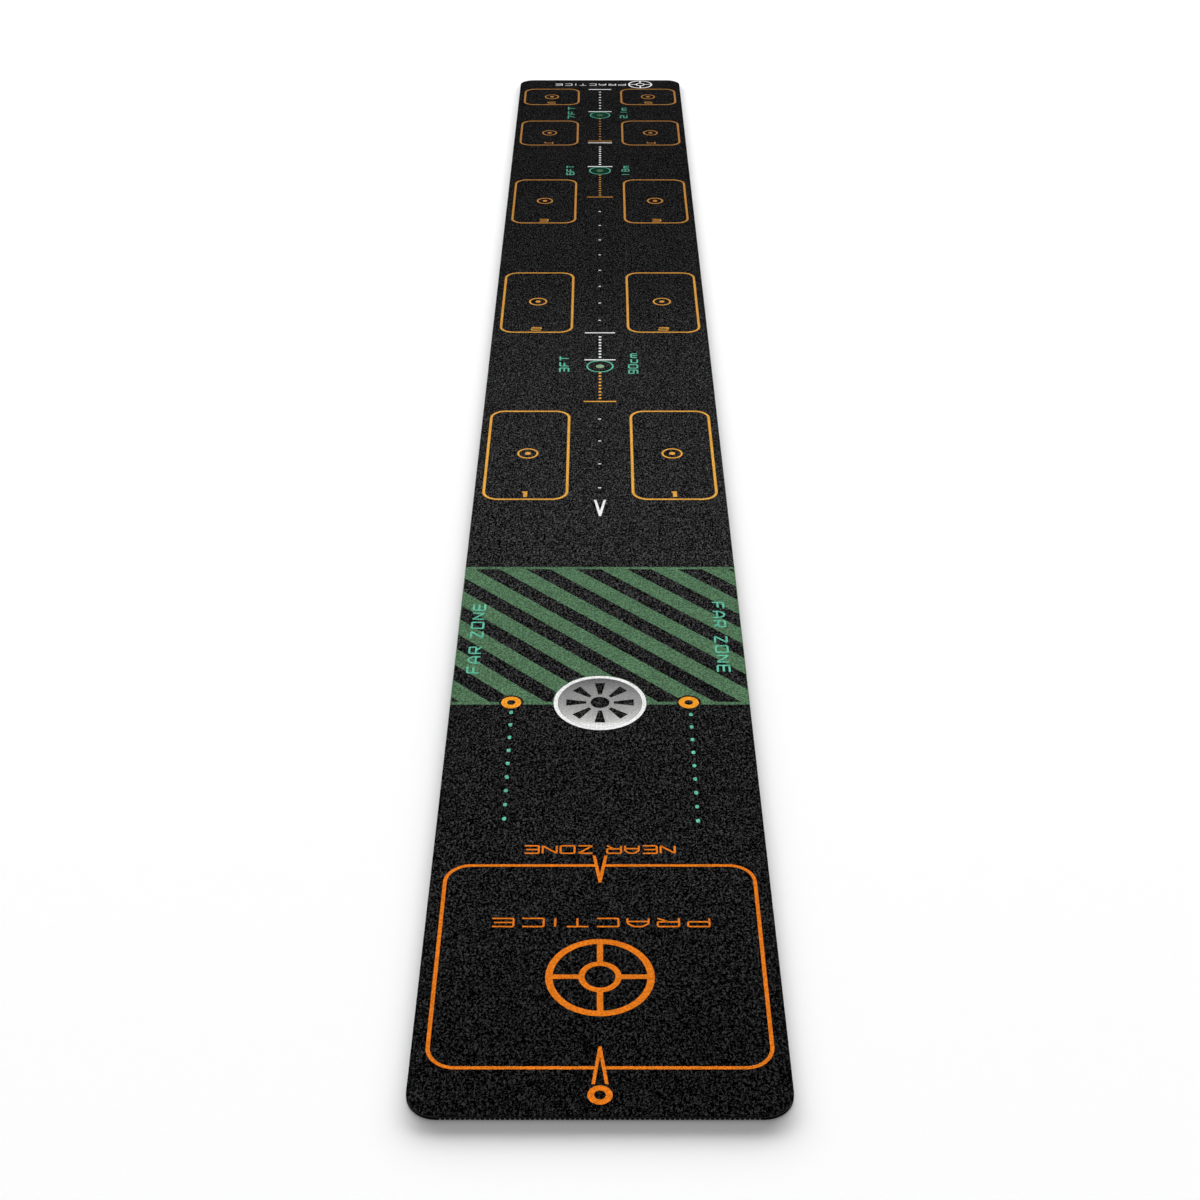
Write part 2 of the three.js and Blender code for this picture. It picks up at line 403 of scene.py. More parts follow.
def oval(x, y, half_x, half_y, power=2.0, count=16):
    """A closed loop round a dot: an ellipse, or squarer with a higher power."""
    loop = []
    for i in range(count):
        angle = 2 * math.pi * i / count
        c, s = math.cos(angle), math.sin(angle)
        loop.append(
            (
                x + half_x * math.copysign(abs(c) ** (2 / power), c),
                y + half_y * math.copysign(abs(s) ** (2 / power), s),
            )
        )
    return loop


# ---------------------------------------------------------------- lettering

# Each letter is drawn in a box one wide and one high. A stroke is its points, whether it is closed, and which
# of its ends, start or end, stop short at another stroke.
LETTERS = {
    "A": [
        ([(0, 0), (0, 0.62), (0.3, 1), (0.7, 1), (1, 0.62), (1, 0)], False, ""),
        ([(0, 0.38), (1, 0.38)], False, "se"),
    ],
    "C": [([(1, 1), (0, 1), (0, 0), (1, 0)], False, "")],
    "E": [([(1, 1), (0, 1), (0, 0), (1, 0)], False, ""), ([(0, 0.5), (0.9, 0.5)], False, "s")],
    "F": [([(0, 0), (0, 1), (1, 1)], False, ""), ([(0, 0.5), (0.85, 0.5)], False, "s")],
    "I": [([(0.5, 0), (0.5, 1)], False, "")],
    "N": [([(0, 0), (0, 1), (1, 0), (1, 1)], False, "")],
    "O": [([(0, 0), (0, 1), (1, 1), (1, 0)], True, "")],
    "P": [([(0, 0), (0, 1), (1, 1), (1, 0.42), (0, 0.42)], False, "e")],
    "R": [
        ([(0, 0), (0, 1), (1, 1), (1, 0.42), (0, 0.42)], False, "e"),
        ([(0.5, 0.42), (1, 0)], False, "s"),
    ],
    "T": [([(0, 1), (1, 1)], False, ""), ([(0.5, 1), (0.5, 0)], False, "s")],
    "Z": [([(0, 1), (1, 1), (0, 0), (1, 0)], False, "")],
    "1": [([(0.2, 0.8), (0.5, 1), (0.5, 0)], False, "")],
    "2": [([(0, 1), (1, 1), (1, 0.5), (0, 0.5), (0, 0), (1, 0)], False, "")],
    "3": [([(0, 1), (1, 1), (1, 0), (0, 0)], False, ""), ([(0.1, 0.5), (1, 0.5)], False, "e")],
    "4": [([(0, 1), (0, 0.4), (1, 0.4)], False, "e"), ([(1, 1), (1, 0)], False, "")],
    "5": [([(1, 1), (0, 1), (0, 0.5), (1, 0.5), (1, 0), (0, 0)], False, "")],
    "6": [([(1, 1), (0, 1), (0, 0), (1, 0), (1, 0.55), (0, 0.55)], False, "e")],
    "7": [([(0, 1), (1, 1), (0.4, 0)], False, "")],
    "8": [([(0, 0), (0, 1), (1, 1), (1, 0)], True, ""), ([(0, 0.52), (1, 0.52)], False, "se")],
    "9": [([(1, 0.45), (0, 0.45), (0, 1), (1, 1), (1, 0), (0, 0)], False, "s")],
    "0": [([(0, 0), (0, 1), (1, 1), (1, 0)], True, "")],
    "c": [([(1, 0.7), (0, 0.7), (0, 0), (1, 0)], False, "")],
    "m": [([(0, 0), (0, 0.7), (1, 0.7), (1, 0)], False, ""), ([(0.5, 0.7), (0.5, 0)], False, "s")],
    ".": [([(0.35, 0), (0.65, 0)], False, "")],
}
# How wide a letter is, where that isn't one.
NARROW = {"I": 0.3, "1": 0.55, ".": 0.35, " ": 0.55, "m": 1.1}

# Height, thickness of line, and the gap between letters as a share of a letter's width.
START_WORD = (14 * MM, 2.0 * MM, 0.3)
NEAR_WORD = (14.2 * MM, 2.1 * MM, 0.12)
FAR_WORD = (16.7 * MM, 2.5 * MM, 0.3)
END_WORD = (14 * MM, 1.8 * MM, 0.3)
DISTANCE_LABEL = (16 * MM, 2.6 * MM, 0.28)
NUMERAL = (13 * MM, 2.4 * MM, 0.25)
NUMERAL_WIDTH = 18 * MM


def word(bm, text, start, end, style, low, high):
    """Letters along the base line from start to end, with their tops to the left of that direction."""
    height, line, spacing = style
    start, end = Vector(start), Vector(end)
    run = end - start
    ahead = run.normalized()
    up = Vector((-ahead.y, ahead.x))
    widths = [NARROW.get(letter, 1.0) for letter in text]
    unit = run.length / (sum(widths) + spacing * (len(text) - 1))
    place = 0.0
    for letter, share in zip(text, widths):
        width = unit * share
        for points, closed, short_ends in LETTERS.get(letter, []):
            inner = (width - line, height - line)
            path = [Vector((line / 2 + x * inner[0], line / 2 + y * inner[1])) for x, y in points]
            if "s" in short_ends:
                path[0] += (path[1] - path[0]).normalized() * line / 2
            if "e" in short_ends:
                path[-1] += (path[-2] - path[-1]).normalized() * line / 2
            path = eased([tuple(p) for p in path], closed, line * 0.9)
            placed = []
            for x, y in path:
                q = start + ahead * (place + x) + up * y
                placed.append((q.x, q.y))
            stroke(bm, placed, closed, line, low, high)
        place += width + unit * spacing


# ---------------------------------------------------------------- print

# Half the width, half the length and the squareness of the printed dots.
GATE_DASH = (2.2 * MM, 3.1 * MM, 2.6)
LADDER_DOT = (2.3 * MM, 2.6 * MM, 2.4)
CENTRE_DASH_HALF_WIDTH = 2.3 * MM
CENTRE_DASH_SQUARENESS = 2.6

STATION_DOT = 4.3 * MM  # radius of the dot in each station's ring
STATION_FOOT = 8.4 * MM  # from a station's frame to the foot of its number
HUB = 6.5 * MM  # radius of the spot in each distance ring
GROUND_INSET = 2 * MM  # from a distance ring's outside to the edge of its dark green ground

# Where two prints overlap, one stands above or below the other's top by this share of its thickness or its rise.
STEP = 0.3


def dye_levels(sizes):
    """The lowest and highest Z of dyed pile."""
    return PILE_TOP - sizes.dye_depth, PILE_TOP + sizes.dye_rise


def circle_of(node):
    """The middle and radius of a round CAD marking."""
    near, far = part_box(node)
    return (near + far) / 2, (far.x - near.x) / 2


def disc(bm, middle, radius, low, high, count=24):
    """A printed disc."""
    plate(bm, oval(middle.x, middle.y, radius, radius, count=count), low, high)


def hoop(bm, middle, radius, line, low, high):
    """A printed ring. The radius runs to the middle of its line."""
    stroke(bm, oval(middle.x, middle.y, radius, radius, count=48), True, line, low, high)


def marked_by_cad(bm, nodes, low, high):
    """Adds the outlines of these CAD markings, as thin as dye."""
    for node in nodes:
        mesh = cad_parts[node].data.copy()
        middle = sum((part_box(node)[i].z for i in (0, 1))) / 2
        for vertex in mesh.vertices:
            vertex.co.z = high if vertex.co.z > middle else low
        bm.from_mesh(mesh)
        bpy.data.meshes.remove(mesh)
    bmesh.ops.remove_doubles(bm, verts=bm.verts, dist=1e-6)


def print_piece(name, nodes, material, sizes, draw=None):
    """A print in one dye: the CAD markings it stands for, and whatever draw adds to them."""
    low, high = dye_levels(sizes)
    bm = bmesh.new()
    marked_by_cad(bm, nodes, low, high)
    if draw:
        draw(bm, low, high)
    piece = new_piece(name, finished(bm, name), material)
    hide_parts(*nodes)
    return piece


# ---------------------------------------------------------------- finishes

# The part of a noise's range that is stretched to full contrast, for grain and for broad patches.
NOISE_SPAN = (0.36, 0.64)
BROAD_SPAN = (0.3, 0.7)


def wire(tree, kind, **settings):
    """Adds a shader node. A setting is an input's value or its source, or else a property of the node."""
    node = tree.nodes.new(kind)
    for name, value in settings.items():
        label = name.replace("_", " ")
        socket = next((s for s in node.inputs if s.name.lower() == label.lower() and s.enabled), None)
        if socket is None:
            setattr(node, name, value)
        elif isinstance(value, bpy.types.NodeSocket):
            tree.links.new(value, socket)
        else:
            socket.default_value = value
    return node


def finish_of(name):
    """A new material with its Principled shader."""
    material = bpy.data.materials.new(name)
    material.use_nodes = True
    shader = next(n for n in material.node_tree.nodes if n.type == "BSDF_PRINCIPLED")
    return material, material.node_tree, shader


def noise(tree, place, scale, detail, roughness):
    """Soft random variation round a half."""
    settings = {"Scale": scale, "Detail": detail, "Roughness": roughness}
    return wire(tree, "ShaderNodeTexNoise", Vector=place, **settings).outputs["Fac"]


def reckoned(tree, operation, one, other):
    """Two outputs, or an output and a number, added or multiplied."""
    node = wire(tree, "ShaderNodeMath", operation=operation)
    for socket, value in zip(node.inputs, (one, other)):
        if isinstance(value, bpy.types.NodeSocket):
            tree.links.new(value, socket)
        else:
            socket.default_value = value
    return node.outputs["Value"]


def ranged(tree, value, low, high, to_low, to_high):
    """An output carried from one range to another, and held at its ends."""
    settings = {"From_Min": low, "From_Max": high, "To_Min": to_low, "To_Max": to_high}
    return wire(tree, "ShaderNodeMapRange", Value=value, **settings).outputs["Result"]


def relief(tree, shader, height, strength, distance, invert=False):
    """Gives a finish bumps from the height of its grain."""
    bump = wire(tree, "ShaderNodeBump", Strength=strength, Distance=distance, Height=height)
    bump.invert = invert
    tree.links.new(bump.outputs["Normal"], shader.inputs["Normal"])


def stops(ramp, *places):
    """Sets a colour ramp's stops, each a place and a colour."""
    elements = ramp.color_ramp.elements
    while len(elements) < len(places):
        elements.new(0.5)
    for element, (place, colour) in zip(elements, places):
        element.position = place
        element.color = (*colour, 1)
    return ramp.outputs["Color"]


def coloured(tree, level, *places):
    """A colour for each level, from a ramp of places and colours."""
    return stops(wire(tree, "ShaderNodeValToRGB", Fac=level), *places)


def scaled(colour, factor):
    """A colour made lighter or darker."""
    return tuple(min(1.0, c * factor) for c in colour)


def pile_grain(tree, place):
    """Height and fleck of cut pile: tufts about a millimetre wide, side by side in slightly uneven rows."""
    nap = wire(tree, "ShaderNodeMapping", Vector=place, Scale=(1, 0.78, 1)).outputs["Vector"]
    tufts = wire(tree, "ShaderNodeTexVoronoi", Vector=nap, Scale=850.0, Randomness=1.0)
    lone = wire(tree, "ShaderNodeSeparateColor", Color=tufts.outputs["Color"]).outputs["Red"]
    clump = ranged(tree, noise(tree, nap, 385.0, 2.0, 0.8), *NOISE_SPAN, 0.0, 1.0)
    blend = wire(tree, "ShaderNodeMix", Factor=0.5, A=lone, B=clump)
    return tufts.outputs["Distance"], blend.outputs["Result"]


# How light each dye is made at places along the mat, in millimetres from the near end. On the undyed pile
# this is painted light and shade: dark at the near end, lightest in the middle and dimmer at the far end.
# The amber, mint and hub dyes are made darker towards the far end.
PALE = (1.0, 1.0, 1.0)
DEEP_AMBER = (0.53, 0.5, 0.8)
DIM_MINT = (0.64, 0.66, 0.66)
PILE_PAINTED_LIGHT = ((0, 0.55), (450, 0.86), (1000, 1.5), (1450, 1.38), (2000, 0.87), (2500, 0.71), (3000, 0.7))
PAINTED_LIGHT_AND_TONE_ALONG_THE_MAT = {
    # The undyed pile's levels: painted light and shade along the mat.
    "undyed_velour": [(distance, (level,) * 3) for distance, level in PILE_PAINTED_LIGHT],
    "amber_velour": [
        (0, PALE),
        (1500, PALE),
        (1800, (0.85, 0.82, 0.9)),
        (2250, (0.66, 0.6, 0.72)),
        (2650, DEEP_AMBER),
        (3000, DEEP_AMBER),
    ],
    "mint_velour": [(0, PALE), (1600, PALE), (2400, (0.7, 0.7, 0.7)), (2800, DIM_MINT), (3000, DIM_MINT)],
    "hub_velour": [(0, PALE), (1600, PALE), (2400, (0.3, 0.4, 0.34)), (3000, (0.18, 0.26, 0.22))],
}


def along_the_mat(tree, place, levels):
    """A colour for each place from end to end of the mat, to multiply a dye by.

    On the undyed pile it is painted light and shade.
    """
    split = wire(tree, "ShaderNodeSeparateXYZ", Vector=place).outputs["Y"]
    ramp = wire(tree, "ShaderNodeValToRGB", Fac=ranged(tree, split, along(0), along(MAT_LENGTH), 0.0, 1.0))
    ramp.color_ramp.interpolation = "EASE"
    tone = stops(ramp, *[(distance / MAT_LENGTH, scaled(level, 0.5)) for distance, level in levels])
    return wire(tree, "ShaderNodeVectorMath", operation="SCALE", Vector=tone, Scale=2.0).outputs["Vector"]


def brushed_rows(tree, place):
    """Light and dark rows a few tufts long, as from brushing the pile along the mat."""
    rows = wire(tree, "ShaderNodeMapping", Vector=place, Scale=(1, 0.3, 1)).outputs["Vector"]
    return ranged(tree, noise(tree, rows, 430.0, 1.0, 0.5), *NOISE_SPAN, 0.42, 1.66)


def velour(name, dye, dark, light):
    """Short cut pile of one dye. dark and light are how far its flecks go below and above the dye."""
    material, tree, shader = finish_of(name)
    place = wire(tree, "ShaderNodeTexCoord").outputs["Object"]
    height, fleck = pile_grain(tree, place)
    patch = noise(tree, place, 22.0, 2.0, 0.6)
    colour = coloured(tree, fleck, (0.42, scaled(dye, dark)), (0.52, dye), (0.62, scaled(dye, light)))
    shade = ranged(tree, patch, *BROAD_SPAN, 0.93, 1.07)
    if name == "undyed_velour":
        shade = reckoned(tree, "MULTIPLY", shade, brushed_rows(tree, place))
    # Multiplies in the tone along the mat, which on the undyed pile is painted light and shade.
    if name in PAINTED_LIGHT_AND_TONE_ALONG_THE_MAT:
        lying = along_the_mat(tree, place, PAINTED_LIGHT_AND_TONE_ALONG_THE_MAT[name])
        product = wire(tree, "ShaderNodeVectorMath", operation="MULTIPLY")
        tree.links.new(colour, product.inputs[0])
        tree.links.new(lying, product.inputs[1])
        colour = product.outputs["Vector"]
    toned = wire(tree, "ShaderNodeVectorMath", operation="SCALE", Vector=colour, Scale=shade)
    tree.links.new(toned.outputs["Vector"], shader.inputs["Base Color"])
    shader.inputs["Roughness"].default_value = 1.0
    shader.inputs["Specular IOR Level"].default_value = 0.0
    relief(tree, shader, height, 0.5, 0.4 * MM, invert=True)
    return material


def moulded_rubber(name, colour):
    """Matt moulded rubber with a fine stipple."""
    material, tree, shader = finish_of(name)
    place = wire(tree, "ShaderNodeTexCoord").outputs["Object"]
    stipple = noise(tree, place, 1500.0, 2.0, 0.6)
    dust = noise(tree, place, 35.0, 4.0, 0.65)
    tone = coloured(tree, dust, (0.35, scaled(colour, 0.8)), (0.6, colour), (0.75, scaled(colour, 2.2)))
    tree.links.new(tone, shader.inputs["Base Color"])
    tree.links.new(ranged(tree, dust, *BROAD_SPAN, 0.7, 0.88), shader.inputs["Roughness"])
    shader.inputs["Specular IOR Level"].default_value = 0.08
    relief(tree, shader, stipple, 0.35, 0.2 * MM)
    return material


def woven_base():
    """Plain weave of dark yarn, seen only along the edge of the mat."""
    material, tree, shader = finish_of("woven_base")
    place = wire(tree, "ShaderNodeTexCoord").outputs["Object"]
    yarn = {"Scale": 160.0, "Distortion": 1.0}
    warp = wire(tree, "ShaderNodeTexWave", Vector=place, bands_direction="X", **yarn).outputs["Fac"]
    weft = wire(tree, "ShaderNodeTexWave", Vector=place, bands_direction="Y", **yarn).outputs["Fac"]
    cross = reckoned(tree, "MULTIPLY", warp, weft)
    tones = ((0.05, (0.05, 0.05, 0.052)), (0.5, (0.13, 0.13, 0.134)), (0.9, (0.22, 0.22, 0.225)))
    tone = coloured(tree, cross, *tones)
    tree.links.new(tone, shader.inputs["Base Color"])
    shader.inputs["Roughness"].default_value = 0.9
    shader.inputs["Specular IOR Level"].default_value = 0.2
    relief(tree, shader, cross, 0.5, 0.2 * MM)
    return material


def cured_latex():
    """The thin coat that binds the cloth to the rubber."""
    material, tree, shader = finish_of("cured_latex")
    place = wire(tree, "ShaderNodeTexCoord").outputs["Object"]
    grain = noise(tree, place, 700.0, 3.0, 0.7)
    tone = coloured(tree, grain, (0.35, (0.006,) * 3), (0.5, (0.01,) * 3), (0.7, (0.02,) * 3))
    tree.links.new(tone, shader.inputs["Base Color"])
    shader.inputs["Roughness"].default_value = 0.6
    relief(tree, shader, grain, 0.3, 0.2 * MM)
    return material


def shaded_velour(name, centre, half):
    """Grey pile printed from dark at the far side to nearly white at the near side, like a cup from above."""
    material, tree, shader = finish_of(name)
    place = wire(tree, "ShaderNodeTexCoord").outputs["Object"]
    scaled_place = wire(
        tree,
        "ShaderNodeMapping",
        Vector=place,
        vector_type="POINT",
        Location=(-centre[0] / half, -centre[1] / half, 0),
        Scale=(1 / half, 1 / half, 1),
    ).outputs["Vector"]
    split = wire(tree, "ShaderNodeSeparateXYZ", Vector=scaled_place)
    fleck = noise(tree, place, 420.0, 3.0, 0.85)
    radius = wire(tree, "ShaderNodeVectorMath", operation="LENGTH", Vector=scaled_place).outputs["Value"]
    # The level is a half in the middle, and goes to none at the far edge and to one at the near edge.
    lean = reckoned(tree, "MULTIPLY", split.outputs["Y"], -0.5)
    level = reckoned(tree, "ADD", reckoned(tree, "MULTIPLY", lean, radius), 0.5)
    tone = coloured(
        tree,
        level,
        (0.1, (0.1, 0.1, 0.1)),
        (0.3, (0.2, 0.2, 0.2)),
        (0.52, (0.3, 0.3, 0.296)),
        (0.74, (0.5, 0.5, 0.49)),
        (0.9, (0.88, 0.88, 0.87)),
    )
    grain = ranged(tree, fleck, *NOISE_SPAN, 0.72, 1.25)
    toned = wire(tree, "ShaderNodeVectorMath", operation="SCALE", Vector=tone, Scale=grain)
    tree.links.new(toned.outputs["Vector"], shader.inputs["Base Color"])
    shader.inputs["Roughness"].default_value = 1.0
    shader.inputs["Specular IOR Level"].default_value = 0.0
    relief(tree, shader, fleck, 0.5, 0.4 * MM)
    return material


# For each dye, its material's name and how far its flecks go below and above it.
DYES = {
    "pile": ("undyed_velour", 0.02, 8.5),
    "orange": ("orange_velour", 0.8, 1.12),
    "gate": ("gate_orange_velour", 0.85, 1.1),
    "amber": ("amber_velour", 0.8, 1.15),
    "mint": ("mint_velour", 0.75, 1.25),
    "green": ("green_velour", 0.62, 1.5),
    "hub": ("hub_velour", 0.75, 1.3),
    "deep": ("deep_green_velour", 0.5, 1.8),
    "white": ("white_velour", 0.86, 1.1),
}


def dyed(colours, dye):
    """The velour of that dye, made once."""
    name, dark, light = DYES[dye]
    return bpy.data.materials.get(name) or velour(name, tuple(getattr(colours, dye)), dark, light)


# ---------------------------------------------------------------- stage

CAMERA_PLACE = (0, -2.677, 1.2995)
CAMERA_DOWN = 32.52  # degrees below level
CAMERA_LENS = 57.0
FLOOR_HALF = 30

# The light from all round: the dome overhead, the low bright strip behind the far end, and the even backdrop
# that the camera sees instead.
DOME = 0.34
STRIP = 66.0
BACKDROP = 0.95

SOFTBOX_PLACE = (0, 0.5, 6.0)
SOFTBOX_SIZE = 6.0
SOFTBOX_POWER = 10.0


def place_camera(scene):
    """Looks along the mat from above its near end."""
    camera = bpy.data.objects.new("camera", bpy.data.cameras.new("camera"))
    scene.collection.objects.link(camera)
    camera.data.sensor_width = 36
    camera.data.lens = CAMERA_LENS
    camera.location = CAMERA_PLACE
    camera.rotation_euler = (math.radians(90 - CAMERA_DOWN), 0, 0)
    camera.data.clip_end = 200
    scene.camera = camera


def lay_floor(scene):
    """A plain pale floor."""
    bm = bmesh.new()
    bmesh.ops.create_grid(bm, x_segments=1, y_segments=1, size=FLOOR_HALF)
    mesh = finished(bm, "floor")
    floor = bpy.data.objects.new("floor", mesh)
    scene.collection.objects.link(floor)
    material, _, shader = finish_of("pale_floor")
    shader.inputs["Base Color"].default_value = (0.9, 0.9, 0.9, 1)
    shader.inputs["Roughness"].default_value = 0.9
    shader.inputs["Specular IOR Level"].default_value = 0.1
    mesh.materials.append(material)


def light_studio(scene):
    """Soft light by direction. Y is towards the far end and Z is up."""
    world = bpy.data.worlds.new("soft_studio")
    scene.world = world
    world.use_nodes = True
    tree = world.node_tree
    background = next(n for n in tree.nodes if n.type == "BACKGROUND")
    place = wire(tree, "ShaderNodeTexCoord").outputs["Generated"]
    split = wire(tree, "ShaderNodeSeparateXYZ", Vector=place)
    ahead, height = split.outputs["Y"], split.outputs["Z"]
    dome = ranged(tree, height, 0.05, 0.12, 1.0, DOME)
    behind = ranged(tree, ahead, 0.5, 1.0, 0.0, STRIP)
    above = ranged(tree, height, 0.035, 0.09, 0.0, 1.0)
    below = ranged(tree, height, 0.13, 0.33, 1.0, 0.0)
    strip = reckoned(tree, "MULTIPLY", behind, reckoned(tree, "MULTIPLY", above, below))
    tree.links.new(reckoned(tree, "ADD", strip, dome), background.inputs["Color"])
    background.inputs["Strength"].default_value = 1.0
    backdrop = wire(tree, "ShaderNodeBackground", Color=(BACKDROP, BACKDROP, BACKDROP, 1), Strength=1.0)
    seen = wire(tree, "ShaderNodeLightPath").outputs["Is Camera Ray"]
    either = wire(tree, "ShaderNodeMixShader")
    tree.links.new(seen, either.inputs["Fac"])
    tree.links.new(background.outputs["Background"], either.inputs[1])
    tree.links.new(backdrop.outputs["Background"], either.inputs[2])
    output = next(n for n in tree.nodes if n.type == "OUTPUT_WORLD")
    tree.links.new(either.outputs["Shader"], output.inputs["Surface"])


def hang_softbox(scene):
    """A weak square light above the mat, turned to its middle."""
    light = bpy.data.lights.new("top_softbox", "AREA")
    light.shape = "RECTANGLE"
    light.size = light.size_y = SOFTBOX_SIZE
    light.energy = SOFTBOX_POWER
    lamp = bpy.data.objects.new("top_softbox", light)
    scene.collection.objects.link(lamp)
    lamp.location = SOFTBOX_PLACE
    lamp.rotation_euler = (-Vector(SOFTBOX_PLACE)).to_track_quat("-Z", "Y").to_euler()
    lamp.visible_camera = False


# ---------------------------------------------------------------- operators


class MatOperator:
    """What every step shares."""

    bl_options = {"REGISTER", "UNDO"}

    @property
    def sizes(self):
        return bpy.context.scene.putting_mat_sizes

    @property
    def colours(self):
        return bpy.context.scene.putting_mat_colours

    def dye(self, name):
        return dyed(self.colours, name)


class PUTTINGMAT_OT_rubber(MatOperator, bpy.types.Operator):
    """Moulded rubber backing with its ribs, border and edge pips, and the latex coat on it"""

    bl_idname = "putting_mat.rubber"
    bl_label = "Rubber backing"

    def execute(self, context):
        sizes = self.sizes
        low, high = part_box("rubber_backing")
        web = low.z + RIB_HEIGHT
        outline = rounded_outline(high.x, low.y, high.y, CORNER, EDGE_PITCH)
        bm = bmesh.new()
        slab(bm, outline, [(web, BITE), (web, 0), (high.z, 0)])
        rim(bm, outline, low.z, web + BITE, sizes.border, sizes.rib_round)
        each_side = int((high.x - sizes.border - RIB_CLEARANCE - RIB_HALF) / RIB_PITCH)
        for i in range(-each_side, each_side + 1):
            x = i * RIB_PITCH
            rib(bm, x, rib_reach(x, high, sizes.border), low.z, web + BITE, sizes.rib_round)
        black = moulded_rubber("moulded_rubber", tuple(self.colours.rubber))
        backing = new_piece("ribbed_rubber", finished(bm, "ribbed_rubber"), black)
        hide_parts("rubber_backing")
        bm = bmesh.new()
        for y, away in ((low.y, -1), (high.y, 1)):
            for i in range(-PIPS_EACH_SIDE, PIPS_EACH_SIDE + 1):
                pip(bm, i * RIB_PITCH, y, away)
        # The pips are made pale grey against the black rubber.
        grey = moulded_rubber("worn_rubber", tuple(self.colours.worn_rubber))
        new_piece("rubber_edge_pips", finished(bm, "rubber_edge_pips"), grey)
        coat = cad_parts["bond_coat"]
        coat.data.materials.clear()
        coat.data.materials.append(cured_latex())
        return {"FINISHED"}


class PUTTINGMAT_OT_cloth(MatOperator, bpy.types.Operator):
    """Woven base cloth and the velour pile on it"""

    bl_idname = "putting_mat.cloth"
    bl_label = "Base cloth and pile"

    def execute(self, context):
        sizes = self.sizes
        low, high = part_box("base_cloth")
        outline = rounded_outline(high.x, low.y, high.y, CORNER, sizes.tuft)
        bm = bmesh.new()
        slab(bm, outline, [(low.z, 0), (high.z, 0)], sizes.tuft_spread, 11)
        cloth = new_piece("woven_base_cloth", finished(bm, "woven_base_cloth"), woven_base())
        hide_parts("base_cloth")
        low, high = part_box("velour_pile")
        thick = high.z - low.z
        levels = [
            (low.z, 0),
            (low.z + 0.75 * thick, 0),
            (low.z + 0.92 * thick, 0.05 * MM),
            (high.z, 0.2 * MM),
        ]
        bm = bmesh.new()
        slab(bm, outline, levels, sizes.tuft_spread, 12)
        pile = new_piece("velour_cloth", finished(bm, "velour_cloth"), self.dye("pile"))
        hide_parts("velour_pile")
        return {"FINISHED"}


class PUTTINGMAT_OT_start_zone(MatOperator, bpy.types.Operator):
    """Start box, near spot, round target and the two orange words"""

    bl_idname = "putting_mat.start_zone"
    bl_label = "Start zone"

    def execute(self, context):
        def draw(bm, low, high):
            word(bm, "PRACTICE", spot(110.5, 260), spot(-109, 260), START_WORD, low, high)
            word(bm, "NEAR ZONE", spot(79.5, 372.7), spot(-80, 372.7), NEAR_WORD, low, high)

        nodes = ["start_box_line", "near_spot_ring", "start_target"]
        print_piece("start_zone_print", nodes, self.dye("orange"), self.sizes, draw)
        return {"FINISHED"}


class PUTTINGMAT_OT_gates(MatOperator, bpy.types.Operator):
    """The two gate rings beside the cup and the dashed lines that lead to them"""

    bl_idname = "putting_mat.gates"
    bl_label = "Gates"

    def execute(self, context):
        rings = ["gate_ring_left", "gate_ring_right"]
        print_piece("gate_ring_print", rings, self.dye("gate"), self.sizes)

        def halo(bm, low, high):
            line = self.sizes.halo
            for ring in rings:
                middle, outer = circle_of(ring)
                hoop(bm, middle, outer + line / 2, line, low, high + STEP * (high - low))

        print_piece("gate_halo", [], self.dye("pile"), self.sizes, halo)

        def draw(bm, low, high):
            for x, first, last in ((-103, 416.5, 611.1), (105.2, 413.1, 606.8)):
                for distance in spread(first, last, 9):
                    plate(bm, oval(*spot(x, distance), *GATE_DASH), low, high)

        print_piece("gate_dash_print", [], self.dye("mint"), self.sizes, draw)
        return {"FINISHED"}


class PUTTINGMAT_OT_striped_zone(MatOperator, bpy.types.Operator):
    """Green diagonal stripes and the mint words beside them"""

    bl_idname = "putting_mat.striped_zone"
    bl_label = "Striped zone"

    def execute(self, context):
        print_piece("striped_zone_print", ["zone_stripes"], self.dye("green"), self.sizes)

        def draw(bm, low, high):
            top = high + STEP * (high - low)
            word(bm, "FAR ZONE", spot(-143.5, 690), spot(-143.5, 844.5), FAR_WORD, low, top)
            word(bm, "FAR ZONE", spot(140, 849), spot(140, 692), FAR_WORD, low, top)

        print_piece("zone_word_print", [], self.dye("mint"), self.sizes, draw)
        return {"FINISHED"}


class PUTTINGMAT_OT_cup(MatOperator, bpy.types.Operator):
    """The printed cup: white rim and shaded slotted floor"""

    bl_idname = "putting_mat.cup"
    bl_label = "Cup"

    def execute(self, context):
        centre, half = circle_of("cup_rim_print")
        print_piece("cup_rim_dye", ["cup_rim_print"], self.dye("white"), self.sizes)
        floor = shaded_velour("shaded_cup_velour", centre, half)
        print_piece("cup_floor_dye", ["cup_floor_print"], floor, self.sizes)
        return {"FINISHED"}


class PUTTINGMAT_OT_aim_line(MatOperator, bpy.types.Operator):
    """White arrow and the sparse dashes along the middle"""

    bl_idname = "putting_mat.aim_line"
    bl_label = "Aim line"

    def execute(self, context):
        dashes = [*spread(1145, 1355, 4), *spread(1710.7, 2201.8, 8)]
        shape = (CENTRE_DASH_HALF_WIDTH, self.sizes.centre_dash / 2, CENTRE_DASH_SQUARENESS)

        def draw(bm, low, high):
            for distance in dashes:
                plate(bm, oval(*spot(-0.5, distance), *shape), low, high)

        print_piece("aim_line_print", ["aim_arrow"], self.dye("white"), self.sizes, draw)
        return {"FINISHED"}


